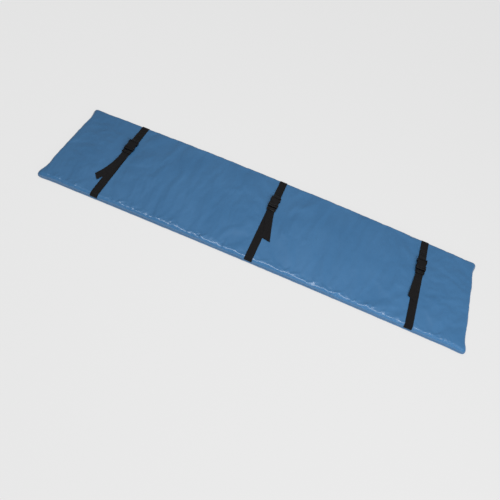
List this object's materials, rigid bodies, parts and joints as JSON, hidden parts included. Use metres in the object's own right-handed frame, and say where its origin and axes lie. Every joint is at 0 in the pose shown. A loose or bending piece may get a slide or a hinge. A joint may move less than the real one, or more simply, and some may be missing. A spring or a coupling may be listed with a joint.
{
  "type": "bed rail bumper pad",
  "caption": "Long flat padded bumper in a wipe-clean cover, with webbing straps across its back that close round a rail with side-release buckles.",
  "frame": {"origin": "centre of the padded front face, the plane that the pad rests on", "axes": "+X along the pad's length, +Y across it towards the straps' fixed ends and sockets, +Z out of the back, where the straps are"},
  "size_m": [1.37, 0.3534, 0.0348],
  "materials": {
    "cover_fabric": "satin",
    "core_foam": "matte",
    "strap_webbing": "matte",
    "buckle_plastic": "satin"
  },
  "bodies": {
    "pad": {"foam_core": "core_foam", "front_cover": "cover_fabric", "back_cover": "cover_fabric", "strap_1_fixed_webbing": "strap_webbing", "strap_1_adjustable_webbing": "strap_webbing", "buckle_1_socket": "buckle_plastic", "strap_2_fixed_webbing": "strap_webbing", "strap_2_adjustable_webbing": "strap_webbing", "buckle_2_socket": "buckle_plastic", "strap_3_fixed_webbing": "strap_webbing", "strap_3_adjustable_webbing": "strap_webbing", "buckle_3_socket": "buckle_plastic"},
    "plug_1": {"buckle_1_plug": "buckle_plastic", "strap_1_bar_loop": "strap_webbing"},
    "left_arm_1": {"buckle_1_left_arm": "buckle_plastic"},
    "right_arm_1": {"buckle_1_right_arm": "buckle_plastic"},
    "tail_1": {"strap_1_tail": "strap_webbing"},
    "plug_2": {"buckle_2_plug": "buckle_plastic", "strap_2_bar_loop": "strap_webbing"},
    "left_arm_2": {"buckle_2_left_arm": "buckle_plastic"},
    "right_arm_2": {"buckle_2_right_arm": "buckle_plastic"},
    "tail_2": {"strap_2_tail": "strap_webbing"},
    "plug_3": {"buckle_3_plug": "buckle_plastic", "strap_3_bar_loop": "strap_webbing"},
    "left_arm_3": {"buckle_3_left_arm": "buckle_plastic"},
    "right_arm_3": {"buckle_3_right_arm": "buckle_plastic"},
    "tail_3": {"strap_3_tail": "strap_webbing"}
  },
  "joints": [
    {"name": "buckle_1_release", "type": "slide", "parent": "pad", "child": "plug_1", "axis": [0, -1, 0], "range_m": [0, 0.045], "deforming": ["strap_1_adjustable_webbing"]},
    {"name": "buckle_1_left_squeeze", "type": "hinge", "parent": "plug_1", "child": "left_arm_1", "pos_m": [-0.51125, 0.056, 0.03005], "axis": [0, 0, -1], "range_deg": [0, 8], "stiffness_Nm_per_rad": 0.4},
    {"name": "buckle_1_right_squeeze", "type": "hinge", "parent": "plug_1", "child": "right_arm_1", "pos_m": [-0.48875, 0.056, 0.03005], "axis": [0, 0, 1], "range_deg": [0, 8], "stiffness_Nm_per_rad": 0.4},
    {"name": "tail_1_lift", "type": "hinge", "parent": "plug_1", "child": "tail_1", "pos_m": [-0.5, 0.031, 0.0277], "axis": [-1, 0, 0], "range_deg": [0, 90]},
    {"name": "buckle_2_release", "type": "slide", "parent": "pad", "child": "plug_2", "axis": [0, -1, 0], "range_m": [0, 0.045], "deforming": ["strap_2_adjustable_webbing"]},
    {"name": "buckle_2_left_squeeze", "type": "hinge", "parent": "plug_2", "child": "left_arm_2", "pos_m": [-0.00625, 0.064, 0.03005], "axis": [0, 0, -1], "range_deg": [0, 8], "stiffness_Nm_per_rad": 0.4},
    {"name": "buckle_2_right_squeeze", "type": "hinge", "parent": "plug_2", "child": "right_arm_2", "pos_m": [0.01625, 0.064, 0.03005], "axis": [0, 0, 1], "range_deg": [0, 8], "stiffness_Nm_per_rad": 0.4},
    {"name": "tail_2_lift", "type": "hinge", "parent": "plug_2", "child": "tail_2", "pos_m": [0.005, 0.039, 0.0277], "axis": [-1, 0, 0], "range_deg": [0, 90]},
    {"name": "buckle_3_release", "type": "slide", "parent": "pad", "child": "plug_3", "axis": [0, -1, 0], "range_m": [0, 0.045], "deforming": ["strap_3_adjustable_webbing"]},
    {"name": "buckle_3_left_squeeze", "type": "hinge", "parent": "plug_3", "child": "left_arm_3", "pos_m": [0.49875, 0.057, 0.03005], "axis": [0, 0, -1], "range_deg": [0, 8], "stiffness_Nm_per_rad": 0.4},
    {"name": "buckle_3_right_squeeze", "type": "hinge", "parent": "plug_3", "child": "right_arm_3", "pos_m": [0.52125, 0.057, 0.03005], "axis": [0, 0, 1], "range_deg": [0, 8], "stiffness_Nm_per_rad": 0.4},
    {"name": "tail_3_lift", "type": "hinge", "parent": "plug_3", "child": "tail_3", "pos_m": [0.51, 0.032, 0.0277], "axis": [-1, 0, 0], "range_deg": [0, 90]}
  ],
  "couplings": [
    {"joint": "buckle_1_right_squeeze", "follows": "buckle_1_left_squeeze", "ratio": 1},
    {"joint": "buckle_2_right_squeeze", "follows": "buckle_2_left_squeeze", "ratio": 1},
    {"joint": "buckle_3_right_squeeze", "follows": "buckle_3_left_squeeze", "ratio": 1}
  ]
}
